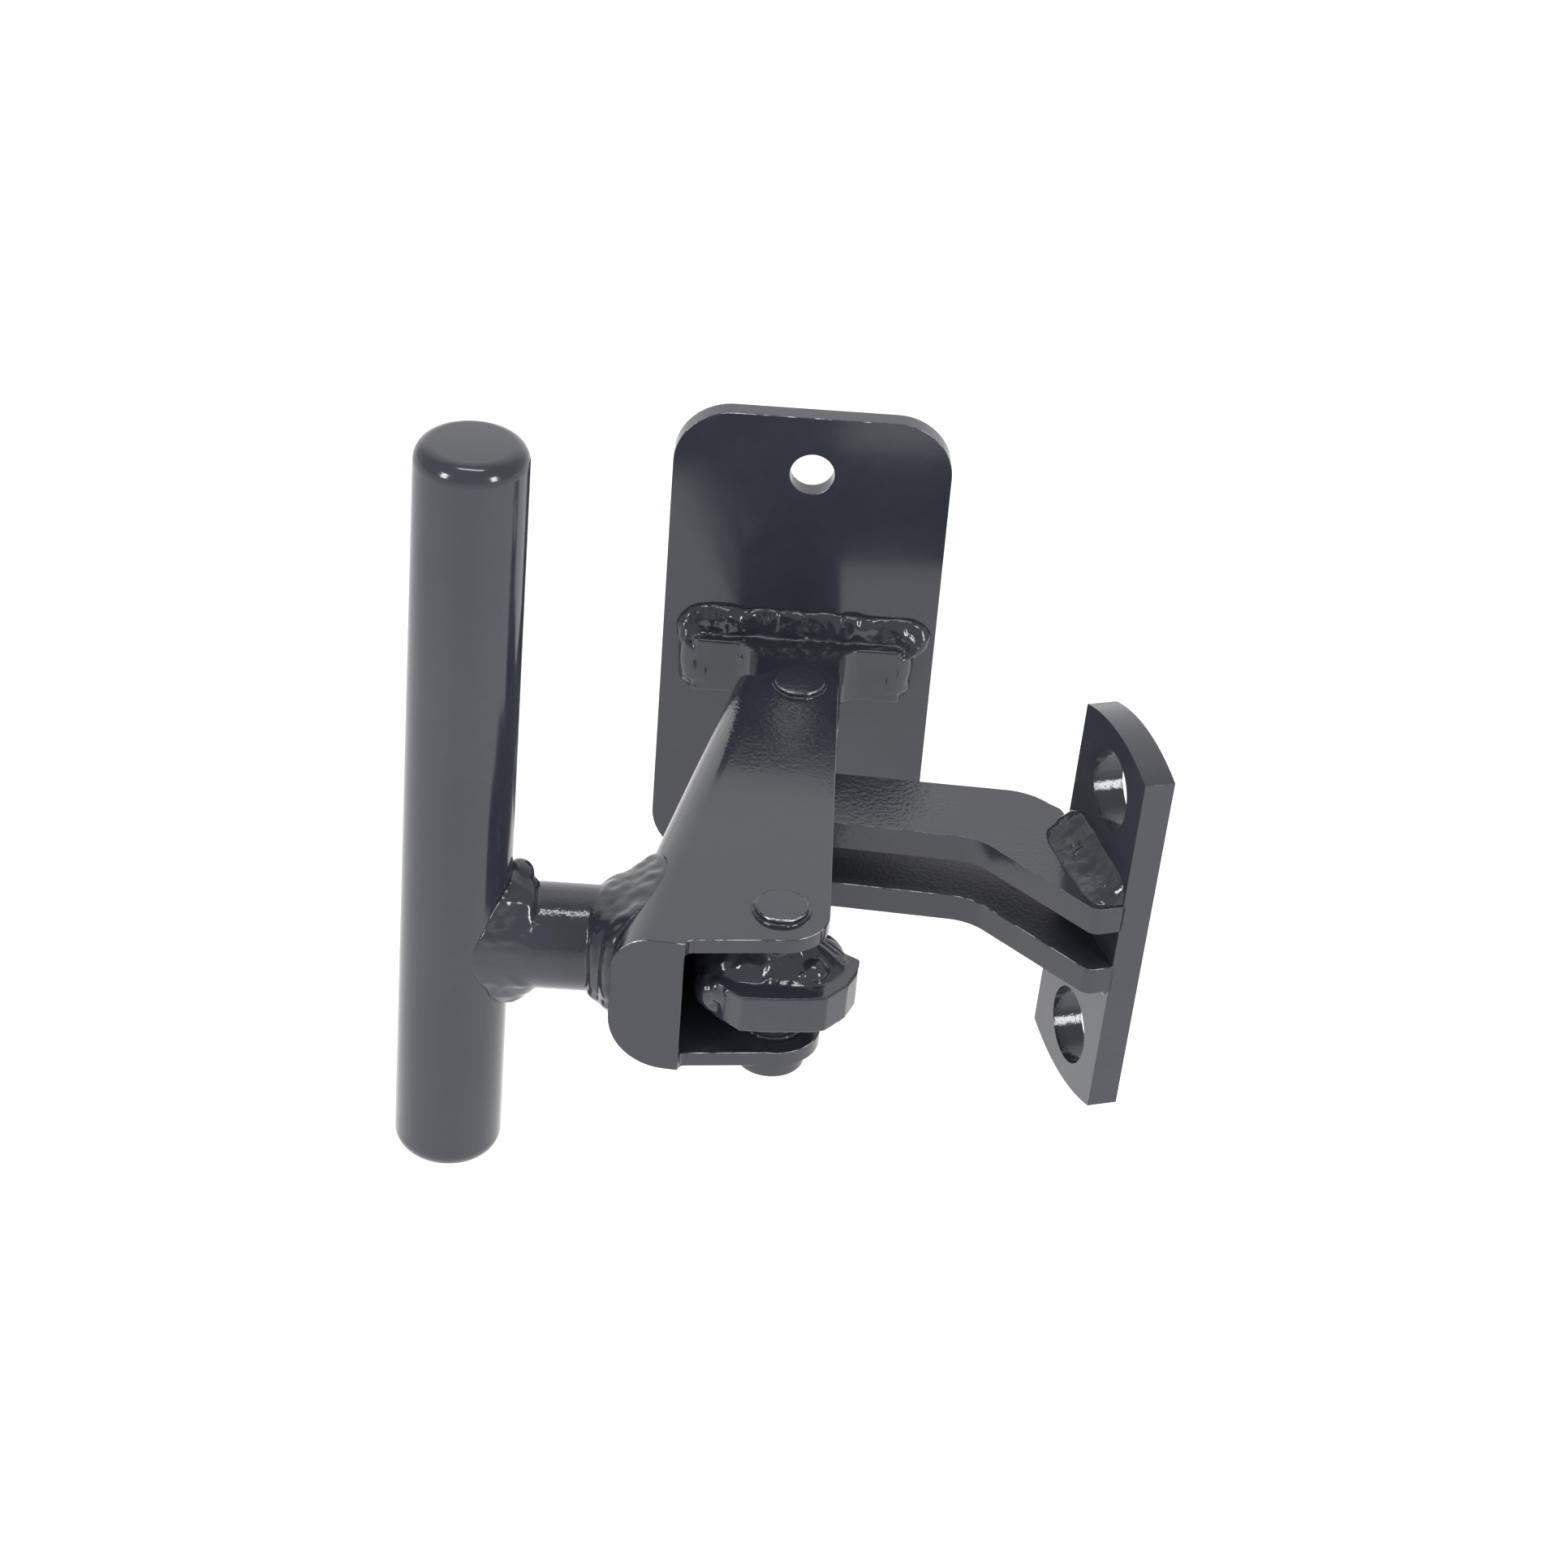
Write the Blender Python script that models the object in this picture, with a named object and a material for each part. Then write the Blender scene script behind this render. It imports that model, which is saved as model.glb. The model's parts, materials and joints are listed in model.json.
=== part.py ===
"""Stair gate latch: a welded steel toggle of three bodies, base, lever and link, on two vertical pins.

Metres. +Z is up along both pins, +Y runs from the operator towards the wall, and the origin is the
centre of the base plate's back face. Dimensions below are in millimetres.
"""

import math

import bmesh
import bpy
from mathutils import Matrix, Vector

for old in list(bpy.data.objects):
    bpy.data.objects.remove(old, do_unlink=True)

MM = 0.001
GAP = 0.3            # between two pieces that touch
RUN = 0.08           # radial running clearance of a pin in its sleeve
OVERCUT = 9.0        # how far a cutter reaches past what it cuts
ROUND = 64           # segments of a round piece
WELD_ROUND = 14      # segments of a bead's own section

# Base: mounting plate with a T-shaped lug welded across it
PLATE_W, PLATE_H, PLATE_T, PLATE_R = 68.8, 132.4, 5.0, 14.4
BOLT_D, BOLT_Z = 11.0, 50.5
MID_Z = -3.2         # mid-height of lug, lever and link
LUG_T = 15.0
LUG_LOW, LUG_TOP = MID_Z - LUG_T / 2, MID_Z + LUG_T / 2
EAR_HALF, EAR_FRONT, EAR_EDGE_R, EAR_END_R = 26.5, 10.8, 1.5, 3.0
NECK_HALF, NECK_FILLET = 10.5, 6.0
LUG_WELD_LEG, LUG_WELD_DEPTH = 3.7, 5.2
LUG_WELD_OVER, LUG_WELD_UNDER = 3.5, -0.7    # extra leg over the top and beneath
LUG_WELD_FLAT = 2.7                          # how much shallower it is over the top

# Pins and the sleeves that turn on them
REAR_PIN = (0.0, -45.0)
FRONT_PIN = (-2.7, -138.6)
PIN_R, PIN_HOLE_R = 5.0, 5.35
HEAD_R, HEAD_T = 6.1, 1.25
WASHER_R, WASHER_T = 8.4, 1.9
FOOT_R, FOOT_T = 7.9, 3.8
SLEEVE_R = 6.7
PIN_CHAMFER = 0.35

# Lever: pressed channel closed by a D-shaped front, with a handle on a stub
LEVER_H, LEG_T = 35.2, 3.8
BEND_TOP, BEND_LOW = 9.0, 13.0
TOP_Z, LOW_Z = MID_Z + LEVER_H / 2, MID_Z - LEVER_H / 2
INNER_TOP, INNER_LOW = TOP_Z - LEG_T, LOW_Z + LEG_T
WEB_LINE = ((-13.3, -25.0), (-35.3, -125.0), (-42.0, -166.0))
REAR_R, NOSE_R = 9.5, 11.0
FRONT_FACE_X, FRONT_FACE_Y = -23.5, -153.8   # right edge of the D-shaped front
FRONT_WALL_Y = -149.2                        # back of the wall behind it
HANDLE_R, HANDLE_X, HANDLE_Y = 12.5, -75.75, -130.0
HANDLE_LOW, HANDLE_TOP, HANDLE_ROUND = -63.7, 122.6, 3.8
HANDLE_LEAN = 0.5    # degrees, top towards the link
STUB_R, STUB_Y = 12.4, -129.6
HANDLE_BEAD_R, STUB_BEAD_R = 5.2, 4.7

# Link: two flat bars either side of an eye plate, ending on a strike plate
EYE_T, BAR_T = 9.4, 7.0
EYE_Z = MID_Z + 0.3               # mid-height of the eye and of the slot between the bars
EYE_SIDE = 18.6
EYE_NOSE = ((-16.0, -150.2), (-10.2, -155.1), (-2.0, -154.8), (5.0, -154.0), (8.6, -153.1))
EYE_CHEEK = ((13.1, -147.9), (15.3, -142.6))     # right-hand corner of the nose, cut away
SHANK_HALF, SHANK_FRONT = 10.3, 5.8
BAR_BACK_Y, BAR_FRONT_Y = -73.3, -94.9   # edges of the bars at the shank
BAR_KNEE_X, BAR_CORNER_X = 42.7, 64.1
BAR_SLOPE = -0.076                # the straight run drifts forward as it leads away
BAR_BEND_R, BAR_OUTER_R = 13.0, 15.0
STRIKE_FRONT = (74.94, -121.36)   # front edge of the strike plate's inner face, at mid-height
STRIKE_TURN = 19.1                # degrees its width turns from +Y towards -X
STRIKE_LEAN = 1.9                 # degrees its top leans outwards
STRIKE_W, STRIKE_H, STRIKE_T, STRIKE_ARC = 34.7, 90.4, 7.3, 48.4
STRIKE_HOLE_R, STRIKE_HOLE_A, STRIKE_HOLE_Z = 9.3, 16.5, 33.6


def material(name, colour, rough):
    mat = bpy.data.materials.new(name)
    mat.use_nodes = True
    shader = mat.node_tree.nodes["Principled BSDF"]
    shader.inputs["Base Color"].default_value = (*colour, 1.0)
    shader.inputs["Metallic"].default_value = 0.15
    shader.inputs["Roughness"].default_value = rough
    return mat


PLATE_PAINT = (0.048, 0.052, 0.066)
WELD_PAINT = (0.052, 0.056, 0.070)
PIN_PAINT = (0.060, 0.064, 0.078)
PLATE_ROUGH, WELD_ROUGH = 0.22, 0.15
PLATE_SHARP, WELD_SHARP = 35.0, 60.0   # degrees above which an edge stays crisp


def finish(name, bm, colour=PLATE_PAINT, rough=PLATE_ROUGH, sharp=PLATE_SHARP):
    """Turn a bmesh in millimetres into a named object in metres."""
    bmesh.ops.remove_doubles(bm, verts=bm.verts, dist=1e-4)
    bmesh.ops.recalc_face_normals(bm, faces=bm.faces)
    bmesh.ops.scale(bm, vec=(MM, MM, MM), verts=bm.verts)
    mesh = bpy.data.meshes.new(name)
    bm.to_mesh(mesh)
    bm.free()
    obj = bpy.data.objects.new(name, mesh)
    bpy.context.scene.collection.objects.link(obj)
    mesh.materials.append(material(name, colour, rough))
    for poly in mesh.polygons:
        poly.use_smooth = True
    mesh.set_sharp_from_angle(angle=math.radians(sharp))
    return obj


def prism(outline, low, high):
    """Closed bmesh of a plan outline between two heights."""
    bm = bmesh.new()
    bottom = [bm.verts.new((x, y, low)) for x, y in outline]
    top = [bm.verts.new((x, y, high)) for x, y in outline]
    bm.faces.new(bottom[::-1])
    bm.faces.new(top)
    count = len(outline)
    for i in range(count):
        j = (i + 1) % count
        bm.faces.new((bottom[i], bottom[j], top[j], top[i]))
    return bm


def lathe(profile, centre=(0.0, 0.0)):
    """Solid of revolution about a vertical axis; profile of (radius, z) from bottom to top or a loop."""
    bm = bmesh.new()
    rings = []
    for r, z in profile:
        circle = arc(*centre, r, 0, 360 - 360 / ROUND, ROUND - 1) if r > 0 else [centre]
        rings.append([bm.verts.new((x, y, z)) for x, y in circle])
    pairs = list(zip(rings, rings[1:]))
    if profile[0][0] > 0:
        pairs.append((rings[-1], rings[0]))
    for a, b in pairs:
        for i in range(ROUND):
            j = (i + 1) % ROUND
            if len(a) == 1:
                bm.faces.new((a[0], b[i], b[j]))
            elif len(b) == 1:
                bm.faces.new((a[i], a[j], b[0]))
            else:
                bm.faces.new((a[i], a[j], b[j], b[i]))
    return bm


def rod(radius, low, high, centre=(0.0, 0.0)):
    return lathe([(0, low), (radius, low), (radius, high), (0, high)], centre)


def lay_along_x(bm, y, z):
    """Turn a vertical lathe so that its axis runs along +X through (y, z)."""
    turn = Matrix(((0, 0, 1, 0), (0, 1, 0, y), (-1, 0, 0, z), (0, 0, 0, 1)))
    bm.transform(turn)
    return bm


def sweep(sections):
    """Closed bmesh through a list of equal-length point loops, with flat ends."""
    bm = bmesh.new()
    loops = [[bm.verts.new(p) for p in loop] for loop in sections]
    count = len(loops[0])
    for a, b in zip(loops, loops[1:]):
        for i in range(count):
            j = (i + 1) % count
            bm.faces.new((a[i], a[j], b[j], b[i]))
    bm.faces.new(loops[0][::-1])
    bm.faces.new(loops[-1])
    return bm


def ring_sweep(sections):
    """Closed bmesh through point loops whose last joins the first."""
    bm = bmesh.new()
    loops = [[bm.verts.new(p) for p in loop] for loop in sections]
    count = len(loops[0])
    for a, b in zip(loops, loops[1:] + loops[:1]):
        for i in range(count):
            j = (i + 1) % count
            bm.faces.new((a[i], a[j], b[j], b[i]))
    return bm


def cutter(name, bm):
    obj = finish(name, bm)
    obj.hide_render = True
    obj.display_type = "WIRE"
    return obj


def combine(obj, tool, operation="DIFFERENCE"):
    mod = obj.modifiers.new(tool.name, "BOOLEAN")
    mod.operation = operation
    mod.solver = "EXACT"
    mod.object = tool


def arc(cx, cy, radius, start, stop, steps):
    """Points on an arc, angles in degrees."""
    return [(cx + radius * math.cos(math.radians(start + (stop - start) * i / steps)),
             cy + radius * math.sin(math.radians(start + (stop - start) * i / steps)))
            for i in range(steps + 1)]


def fillet(before, corner, after, radius, steps=8):
    """Points rounding a corner of an outline."""
    c = Vector(corner)
    u, v = (Vector(before) - c).normalized(), (Vector(after) - c).normalized()
    half = u.angle(v) / 2
    reach = radius / math.tan(half)
    centre = c + (u + v).normalized() * (radius / math.sin(half))
    a, b = c + u * reach - centre, c + v * reach - centre
    points = []
    for i in range(steps + 1):
        d = (a * (steps - i) + b * i).normalized() * radius
        points.append(tuple(centre + d))
    return points


def rounded(corners, steps=8):
    """Outline from (x, y, radius) corners."""
    points = []
    count = len(corners)
    for i, (x, y, r) in enumerate(corners):
        if r <= 0:
            points.append((x, y))
            continue
        points += fillet(corners[i - 1][:2], (x, y), corners[(i + 1) % count][:2], r, steps)
    return points


def stand(bm):
    """Move an outline drawn as (x, z) and extruded along its own normal to stand facing -Y."""
    bm.transform(Matrix(((1, 0, 0, 0), (0, 0, 1, 0), (0, 1, 0, 0), (0, 0, 0, 1))))
    return bm


# ---------------------------------------------------------------- base


def make_base_plate():
    half_w, half_h = PLATE_W / 2, PLATE_H / 2
    corners = [(-half_w, -half_h), (half_w, -half_h), (half_w, half_h), (-half_w, half_h)]
    outline = rounded([(x, z, PLATE_R) for x, z in corners], 14)
    plate = finish("base_plate", stand(prism(outline, -PLATE_T, 0.0)))
    for label, z in (("upper", BOLT_Z), ("lower", -BOLT_Z)):
        circle = arc(0, z, BOLT_D / 2, 0, 352.5, 47)
        combine(plate, cutter("bolt_hole_" + label, stand(prism(circle, -PLATE_T - OVERCUT, OVERCUT))))


def make_base_lug():
    """T-shaped lug: two ears against the plate and a round-nosed neck out to the rear pin."""
    back = -PLATE_T - GAP
    ahead = REAR_PIN[1]
    ear_left, ear_right = (-EAR_HALF, -EAR_FRONT), (EAR_HALF, -EAR_FRONT)
    root_left, root_right = (-NECK_HALF, -EAR_FRONT), (NECK_HALF, -EAR_FRONT)
    outline = [(-EAR_HALF, back)]
    outline += fillet((-EAR_HALF, back), ear_left, root_left, EAR_EDGE_R, 4)
    outline += fillet(ear_left, root_left, (-NECK_HALF, ahead), NECK_FILLET)
    outline += arc(*REAR_PIN, NECK_HALF, 180, 360, 32)
    outline += fillet((NECK_HALF, ahead), root_right, ear_right, NECK_FILLET)
    outline += fillet(root_right, ear_right, (EAR_HALF, back), EAR_EDGE_R, 4)
    outline += [(EAR_HALF, back)]
    lug = finish("base_lug", prism(outline, LUG_LOW, LUG_TOP))
    bore = rod(SLEEVE_R + GAP, LUG_LOW - OVERCUT, LUG_TOP + OVERCUT, REAR_PIN)
    combine(lug, cutter("lug_bore", bore))


def bead(phase, t):
    """Gentle unevenness of a hand-laid weld along its length."""
    return 0.6 * math.sin(phase + 9.0 * t) + 0.4 * math.sin(2.3 * phase + 23.0 * t)


def subdivided(ring, pitch):
    """Closed outline with points added so that none are further apart than about the pitch."""
    points = []
    for (x, y), (x2, y2) in zip(ring, ring[1:] + ring[:1]):
        steps = max(1, round(math.hypot(x2 - x, y2 - y) / pitch))
        points += [(x + (x2 - x) * s / steps, y + (y2 - y) * s / steps) for s in range(steps)]
    return points


def make_lug_weld():
    """Fillet all round the lug's root: heavy over the top, small beneath."""
    side, low, top = EAR_HALF + GAP, LUG_LOW - GAP, LUG_TOP + GAP
    root = rounded([(x, z, EAR_END_R) for x, z in ((-side, low), (side, low), (side, top), (-side, top))], 6)
    root = subdivided(root, 2.5)
    wall = -PLATE_T - GAP
    sections = []
    for i, (x, z) in enumerate(root):
        before, after = root[i - 1], root[(i + 1) % len(root)]
        out = Vector((after[1] - before[1], before[0] - after[0])).normalized()
        over, under = max(0.0, out.y), max(0.0, -out.y)
        t = i / len(root) * 3
        leg = LUG_WELD_LEG + LUG_WELD_OVER * over + LUG_WELD_UNDER * under + 0.5 * bead(0.4, t)
        depth = LUG_WELD_DEPTH - LUG_WELD_FLAT * over + 0.4 * bead(1.9, t)
        loop = [(x, wall, z)]
        for along, away in arc(0, 0, 1.0, 0, 90, 8):
            swell = 1.0 + 0.2 * along * away
            loop.append((x + out.x * leg * along * swell, wall - depth * away * swell,
                         z + out.y * leg * along * swell))
        sections.append(loop)
    weld = finish("lug_weld", ring_sweep(sections), WELD_PAINT, WELD_ROUGH, WELD_SHARP)
    inside = [(-side, OVERCUT), (-side, -EAR_FRONT - OVERCUT), (side, -EAR_FRONT - OVERCUT), (side, OVERCUT)]
    combine(weld, cutter("lug_weld_trim", prism(inside, low, top)))


make_base_plate()
make_base_lug()
make_lug_weld()

# ---------------------------------------------------------------- pins and sleeves


def ring_profile(inner, outer, low, high, chamfer):
    """Section of a turned ring whose outer edges are chamfered."""
    return [(inner, low), (outer - chamfer, low), (outer, low + chamfer),
            (outer, high - chamfer), (outer - chamfer, high), (inner, high)]


def make_pin(label, at, sleeve_name):
    """A headed pin with the washer and riveted foot under the lever and the sleeve that turns on it."""
    head_low = TOP_Z + GAP
    head_top = head_low + HEAD_T
    washer_top = LOW_Z - GAP
    foot_top = washer_top - WASHER_T - GAP
    foot_low = foot_top - FOOT_T
    profile = [(0, foot_low), (FOOT_R - 2 * PIN_CHAMFER, foot_low), (FOOT_R, foot_low + 2 * PIN_CHAMFER),
               (FOOT_R, foot_top), (PIN_R, foot_top), (PIN_R, head_low), (HEAD_R, head_low),
               (HEAD_R, head_top - PIN_CHAMFER), (HEAD_R - PIN_CHAMFER, head_top), (0, head_top)]
    finish(label + "_pin", lathe(profile, at), PIN_PAINT)
    washer = ring_profile(PIN_HOLE_R, WASHER_R, washer_top - WASHER_T, washer_top, PIN_CHAMFER)
    finish(label + "_washer", lathe(washer, at), PIN_PAINT)
    sleeve = ring_profile(PIN_R + RUN, SLEEVE_R, INNER_LOW + GAP, INNER_TOP - GAP, PIN_CHAMFER)
    finish(sleeve_name, lathe(sleeve, at), PIN_PAINT)


make_pin("rear", REAR_PIN, "lug_sleeve")
make_pin("front", FRONT_PIN, "eye_sleeve")

# ---------------------------------------------------------------- lever


def channel(inset, reach):
    """Channel section swept along the web line; inset thins it to the inner surface."""
    r_top, r_low = BEND_TOP - inset, BEND_LOW - inset
    profile = [(reach, TOP_Z - inset)]
    profile += arc(BEND_TOP, TOP_Z - BEND_TOP, r_top, 90, 180, 12)
    profile += arc(BEND_LOW, LOW_Z + BEND_LOW, r_low, 180, 270, 12)
    profile += [(reach, LOW_Z + inset)]
    stations = []
    for i, (x, y) in enumerate(WEB_LINE):
        before, after = WEB_LINE[max(0, i - 1)], WEB_LINE[min(len(WEB_LINE) - 1, i + 1)]
        along = Vector((after[0] - before[0], after[1] - before[1])).normalized()
        side = Vector((-along.y, along.x))
        stations.append([(x + side.x * n, y + side.y * n, z) for n, z in profile])
    return sweep(stations)


def make_lever():
    """Channel on its side: two legs with round noses over both pins, closed in front by a D-shaped wall."""
    nose_y = FRONT_PIN[1] - 0.4
    low, top = LOW_Z - OVERCUT, TOP_Z + OVERCUT
    outline = [(FRONT_PIN[0] + NOSE_R, nose_y), (REAR_R, REAR_PIN[1])]
    outline += arc(*REAR_PIN, REAR_R, 6, 147, 26)
    outline += [(-11.2, -40.5), (-15.4, -35.0), (-26.0, -35.0), (-60.0, -100.0), (-60.0, -149.0)]
    outline += [(-37.7, FRONT_FACE_Y + 1.25), (FRONT_FACE_X, FRONT_FACE_Y)]
    outline += fillet((FRONT_FACE_X, FRONT_FACE_Y), (-22.8, -152.05), (0, -150.35), 1.6, 4)
    outline += arc(FRONT_PIN[0], nose_y, NOSE_R, 265, 356, 18)
    lever = finish("lever_clevis", prism(outline, low, top))
    combine(lever, cutter("channel_outside", channel(0.0, 70.0)), "INTERSECT")
    wall = [(-60.0, FRONT_WALL_Y), (FRONT_FACE_X, FRONT_WALL_Y), (FRONT_FACE_X, -170.0), (-60.0, -170.0)]
    hollow = cutter("channel_inside", channel(LEG_T, 90.0))
    combine(hollow, cutter("front_wall_keep", prism(wall, low, top)))
    combine(lever, hollow)
    for label, at in (("rear", REAR_PIN), ("front", FRONT_PIN)):
        combine(lever, cutter("leg_holes_" + label, rod(PIN_HOLE_R, low, top, at)))


make_lever()
lean = Matrix.Translation((HANDLE_X, HANDLE_Y, MID_Z)) @ Matrix.Rotation(
    math.radians(HANDLE_LEAN), 4, "Y") @ Matrix.Translation((0, 0, -MID_Z))


def make_handle():
    """Round grip bar with both ends rounded over."""
    edge = HANDLE_R - HANDLE_ROUND
    profile = [(0, HANDLE_LOW)]
    profile += arc(edge, HANDLE_LOW + HANDLE_ROUND, HANDLE_ROUND, -90, 0, 6)
    profile += arc(edge, HANDLE_TOP - HANDLE_ROUND, HANDLE_ROUND, 0, 90, 6)
    profile += [(0, HANDLE_TOP)]
    bar = lathe(profile)
    bar.transform(lean)
    finish("handle_bar", bar)


def handle_envelope():
    bm = rod(HANDLE_R + GAP, HANDLE_LOW - OVERCUT, HANDLE_TOP + OVERCUT)
    bm.transform(lean)
    return bm


def stub_rod(radius, start=HANDLE_X, end=-20.0):
    return lay_along_x(rod(radius, start, end), STUB_Y, MID_Z)


def make_stub():
    """Round bar between the grip and the lever's web, coped to fit both."""
    stub = finish("handle_stub", stub_rod(STUB_R))
    combine(stub, cutter("stub_saddle", handle_envelope()))
    web_side = [(x - GAP, y) for x, y in WEB_LINE] + [(40.0, WEB_LINE[2][1]), (40.0, WEB_LINE[0][1])]
    combine(stub, cutter("stub_web_face", prism(web_side, LOW_Z - OVERCUT, TOP_Z + OVERCUT)))


def bead_ring(centres, normals, radius):
    """Round bead following a closed curve; normals point away from the joint's axis."""
    loops = []
    total = len(centres)
    for i, centre in enumerate(centres):
        ahead = (centres[(i + 1) % total] - centres[i - 1]).normalized()
        n = (normals[i] - ahead * normals[i].dot(ahead)).normalized()
        b = ahead.cross(n)
        loops.append([tuple(centre + n * u + b * v)
                      for u, v in arc(0, 0, radius(i / total), 0, 360 - 360 / WELD_ROUND, WELD_ROUND - 1)])
    return ring_sweep(loops)


def make_stub_welds():
    """The bead at each end of the stub: a saddle round the grip, and a ring on the lever's web."""
    saddle, ring, outward, radial = [], [], [], []
    for y, z in arc(0, 0, 1.0, 0, 360 - 360 / 56, 55):
        bow = math.sqrt(HANDLE_R ** 2 - (0.9 * STUB_R * y) ** 2)
        saddle.append(Vector((HANDLE_X + bow + 0.6, STUB_Y + STUB_R * y, MID_Z + STUB_R * z)))
        outward.append(Vector((0.55, y, z)))
        r = STUB_R + 0.6
        climb = 0.022 * (r * max(0.0, z)) ** 2
        ring.append(Vector((-37.0 + 0.2 * r * y + climb, STUB_Y + r * y, MID_Z + r * z)))
        radial.append(Vector((0.0, y, z)))
    for name, centres, normals, size, phase in (("handle_weld", saddle, outward, HANDLE_BEAD_R, 0.3),
                                                ("stub_weld", ring, radial, STUB_BEAD_R, 1.1)):
        bm = bead_ring(centres, normals, lambda t: size + 0.35 * bead(phase, t * 2))
        weld = finish(name, bm, WELD_PAINT, WELD_ROUGH, WELD_SHARP)
        trim = handle_envelope() if name == "handle_weld" else channel(-GAP, 60.0)
        combine(weld, cutter(name + "_trim", trim))
        combine(weld, cutter(name + "_stub", stub_rod(STUB_R + GAP, HANDLE_X - 2 * HANDLE_R, 10.0)))


make_handle()
make_stub()
make_stub_welds()

# ---------------------------------------------------------------- link
EYE_LOW, EYE_TOP = EYE_Z - EYE_T / 2, EYE_Z + EYE_T / 2
PIN_X, PIN_Y = FRONT_PIN


def make_eye():
    """Eye plate: a nose round the front pin, shoulders, and a shank back between the bars."""
    back = BAR_BACK_Y - 3.0
    outline = [*EYE_NOSE, *EYE_CHEEK, (PIN_X + EYE_SIDE, PIN_Y + 0.6)]
    outline += [(PIN_X + SHANK_HALF, PIN_Y + SHANK_FRONT), (PIN_X + SHANK_HALF, back)]
    outline += [(PIN_X - SHANK_HALF, back), (PIN_X - SHANK_HALF, PIN_Y + SHANK_FRONT)]
    outline += [(PIN_X - EYE_SIDE, PIN_Y + 0.6), (PIN_X - EYE_SIDE + 0.4, PIN_Y - 4.0)]
    eye = finish("link_eye", prism(outline, EYE_LOW, EYE_TOP))
    bore = rod(SLEEVE_R + GAP, EYE_LOW - OVERCUT, EYE_TOP + OVERCUT, FRONT_PIN)
    combine(eye, cutter("eye_bore", bore))


# Frame of the strike plate: width from its front edge, height and outward normal
turn, tilt = math.radians(STRIKE_TURN), math.radians(STRIKE_LEAN)
across = Vector((-math.sin(turn), math.cos(turn), 0.0))
flat_out = Vector((math.cos(turn), math.sin(turn), 0.0))
outward = flat_out * math.cos(tilt) - Vector((0, 0, 1)) * math.sin(tilt)
upward = flat_out * math.sin(tilt) + Vector((0, 0, 1)) * math.cos(tilt)
corner = Vector((*STRIKE_FRONT, MID_Z))
strike_frame = Matrix.Translation(corner) @ Matrix((across, upward, outward)).transposed().to_4x4()


def on_strike(bm):
    bm.transform(strike_frame)
    return bm


def make_strike_plate():
    """Plate with straight sides and arched ends, and a hole near each end."""
    half, edge = STRIKE_W / 2, STRIKE_H / 2
    swing = math.degrees(math.asin(half / STRIKE_ARC))
    drop = math.sqrt(STRIKE_ARC ** 2 - half ** 2)
    outline = arc(half, drop - edge, STRIKE_ARC, 270 - swing, 270 + swing, 20)
    outline += arc(half, edge - drop, STRIKE_ARC, 90 - swing, 90 + swing, 20)
    plate = finish("strike_plate", on_strike(prism(outline, 0.0, STRIKE_T)))
    for label, height in (("upper", STRIKE_HOLE_Z), ("lower", -STRIKE_HOLE_Z)):
        circle = arc(STRIKE_HOLE_A, height, STRIKE_HOLE_R, 0, 354, 59)
        hole = on_strike(prism(circle, -OVERCUT, STRIKE_T + OVERCUT))
        combine(plate, cutter("strike_hole_" + label, hole))


def plan_on_strike(along, out):
    """Plan point at a distance along the strike plate's width and out from its inner face."""
    return tuple((corner + across * along + flat_out * out).to_2d())


def make_bars():
    """Two flat bars: a straight run off the shank, a dog-leg forward, an end flush with the strike plate."""
    shank_x = PIN_X - SHANK_HALF
    knee = (BAR_KNEE_X, BAR_FRONT_Y + BAR_SLOPE * (BAR_KNEE_X - PIN_X - SHANK_HALF))
    run_front = (PIN_X + SHANK_HALF, BAR_FRONT_Y)
    run_back = (PIN_X + SHANK_HALF, BAR_BACK_Y)
    outer = (BAR_CORNER_X, BAR_BACK_Y + BAR_SLOPE * (BAR_CORNER_X - PIN_X - SHANK_HALF))
    tip, beyond = plan_on_strike(0, -6.2), plan_on_strike(0, STRIKE_T)
    rear = plan_on_strike(STRIKE_W - 0.4, STRIKE_T)
    outline = [(shank_x, BAR_FRONT_Y), run_front]
    outline += fillet(run_front, knee, tip, BAR_BEND_R)
    outline += fillet(knee, tip, beyond, 3.0, 4)
    outline += [beyond, rear, (BAR_CORNER_X, rear[1])]
    outline += fillet((BAR_CORNER_X, rear[1]), outer, run_back, BAR_OUTER_R, 12)
    outline += [(shank_x, BAR_BACK_Y)]
    wide, high = 2 * STRIKE_W, STRIKE_H
    past_face = [(-wide, -high), (wide, -high), (wide, high), (-wide, high)]
    for label, low in (("upper", EYE_TOP + GAP), ("lower", EYE_LOW - GAP - BAR_T)):
        bar = finish("link_bar_" + label, prism(outline, low, low + BAR_T))
        combine(bar, cutter("bar_end_" + label, on_strike(prism(past_face, -GAP, 3 * STRIKE_T))))


def make_eye_weld():
    """Bead round the sleeve on the eye plate, heavier at the sides than at the front."""
    inner, foot_z = SLEEVE_R + GAP, EYE_TOP + GAP
    sections = []
    for i, (c, s) in enumerate(arc(0, 0, 1.0, 0, 355, 71)):
        foot = 12.4 + 1.4 * abs(c) + 0.5 * bead(0.7, i / 36)
        crest = 3.4 + 2.4 * abs(c) + 0.4 * bead(2.1, i / 36)
        loop = [(inner, foot_z)] + [(inner + (foot - inner) * u, foot_z + crest * v)
                                    for u, v in arc(0, 0, 1.0, 0, 90, 7)]
        sections.append([(PIN_X + r * c, PIN_Y + r * s, z) for r, z in loop])
    finish("eye_weld", ring_sweep(sections), WELD_PAINT, WELD_ROUGH, WELD_SHARP)


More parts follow.
